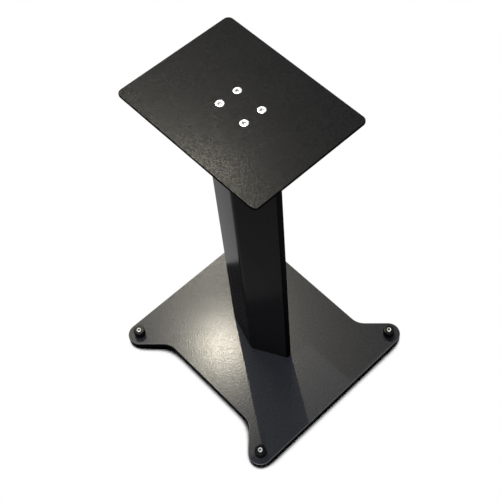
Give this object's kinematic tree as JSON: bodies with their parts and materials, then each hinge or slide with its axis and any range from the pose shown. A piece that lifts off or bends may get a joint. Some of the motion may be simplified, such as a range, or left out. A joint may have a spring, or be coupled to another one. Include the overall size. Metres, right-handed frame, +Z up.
{
  "type": "speaker stand",
  "caption": "Floor stand for a loudspeaker: thin top plate, slim extruded column with a rear cable channel, wide base plate on adjustable spikes with lock nuts.",
  "frame": {"origin": "on the floor, midway between the four spikes", "axes": "+Z up, -Y the front with the column's narrow edge, X across the stand"},
  "size_m": [0.335, 0.335, 0.6],
  "materials": {
    "plate_coat": "fine-textured black powder coat on steel, satin",
    "column_coat": "smooth black coat on extruded aluminium, satin",
    "black_strip": "black push-in strip, matt",
    "cover_plastic": "black clip-on cover, satin",
    "bright_zinc": "bright zinc plate on steel",
    "nut_black": "black zinc on steel, semi-gloss"
  },
  "bodies": {
    "frame": {"base_plate": "plate_coat", "base_plate_screws": "bright_zinc", "column": "column_coat", "front_strip": "black_strip", "rear_cable_cover": "cover_plastic", "top_plate": "plate_coat", "top_plate_screws": "bright_zinc"},
    "front_left_spike": {"spike_front_left": "bright_zinc"},
    "front_right_spike": {"spike_front_right": "bright_zinc"},
    "rear_left_spike": {"spike_rear_left": "bright_zinc"},
    "rear_right_spike": {"spike_rear_right": "bright_zinc"},
    "front_left_nut": {"lock_nut_front_left": "nut_black"},
    "front_right_nut": {"lock_nut_front_right": "nut_black"},
    "rear_left_nut": {"lock_nut_rear_left": "nut_black"},
    "rear_right_nut": {"lock_nut_rear_right": "nut_black"}
  },
  "joints": [
    {"name": "front_left_height", "type": "slide", "parent": "frame", "child": "front_left_spike", "axis": [0, 0, 1], "range_m": [-0.008, 0.005]},
    {"name": "front_right_height", "type": "slide", "parent": "frame", "child": "front_right_spike", "axis": [0, 0, 1], "range_m": [-0.008, 0.005]},
    {"name": "rear_left_height", "type": "slide", "parent": "frame", "child": "rear_left_spike", "axis": [0, 0, 1], "range_m": [-0.008, 0.005]},
    {"name": "rear_right_height", "type": "slide", "parent": "frame", "child": "rear_right_spike", "axis": [0, 0, 1], "range_m": [-0.008, 0.005]},
    {"name": "front_left_lock", "type": "hinge", "parent": "frame", "child": "front_left_nut", "pos_m": [-0.148, -0.148, 0.026], "axis": [0, 0, 1], "continuous": true},
    {"name": "front_right_lock", "type": "hinge", "parent": "frame", "child": "front_right_nut", "pos_m": [0.148, -0.148, 0.026], "axis": [0, 0, 1], "continuous": true},
    {"name": "rear_left_lock", "type": "hinge", "parent": "frame", "child": "rear_left_nut", "pos_m": [-0.148, 0.148, 0.026], "axis": [0, 0, 1], "continuous": true},
    {"name": "rear_right_lock", "type": "hinge", "parent": "frame", "child": "rear_right_nut", "pos_m": [0.148, 0.148, 0.026], "axis": [0, 0, 1], "continuous": true}
  ]
}
